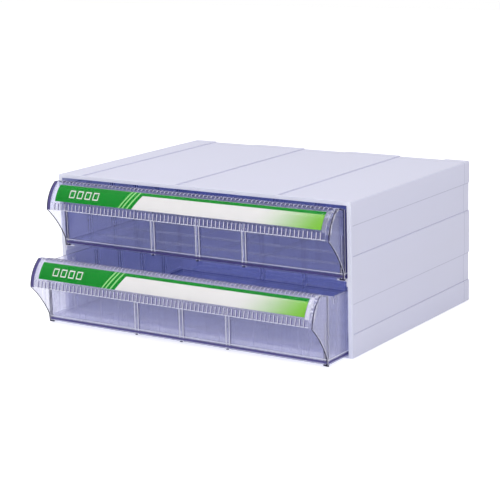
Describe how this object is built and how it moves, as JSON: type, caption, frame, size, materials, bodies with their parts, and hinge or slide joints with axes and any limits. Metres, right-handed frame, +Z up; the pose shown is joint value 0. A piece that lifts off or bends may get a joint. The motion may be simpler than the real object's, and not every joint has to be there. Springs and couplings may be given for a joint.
{
  "type": "parts cabinet",
  "caption": "Low desktop parts cabinet: pale moulded housing with clear tinted drawers that slide out, each with a curved handle lip holding a label strip.",
  "frame": {"origin": "on the surface it stands on, under the middle of the whole object with its lower drawer part open", "axes": "+X to the right along the front, +Y from the front to the rear, +Z up"},
  "size_m": [0.375, 0.3284, 0.161],
  "materials": {
    "housing_plastic": "fine satin moulded plastic, pale lavender white",
    "runner_plastic": "satin moulded plastic, near white",
    "clear_plastic": "clear polystyrene with a blue-violet tint",
    "label_film": "clear glossy strip",
    "label_paper": "printed paper card, green and white"
  },
  "bodies": {
    "housing": {"housing_sleeve": "housing_plastic", "rear_cover": "housing_plastic", "base_panel": "housing_plastic", "left_runner": "runner_plastic", "right_runner": "runner_plastic"},
    "upper_drawer": {"upper_tray": "clear_plastic", "upper_label_cover": "label_film", "upper_label_card": "label_paper", "cross_divider_1": "clear_plastic", "cross_divider_2": "clear_plastic"},
    "lower_drawer": {"lower_tray": "clear_plastic", "lower_label_cover": "label_film", "lower_label_card": "label_paper"}
  },
  "joints": [
    {"name": "upper_drawer_slide", "type": "slide", "parent": "housing", "child": "upper_drawer", "axis": [0, -1, 0], "range_m": [0, 0.19]},
    {"name": "lower_drawer_slide", "type": "slide", "parent": "housing", "child": "lower_drawer", "axis": [0, -1, 0], "range_m": [-0.034, 0.156]}
  ]
}
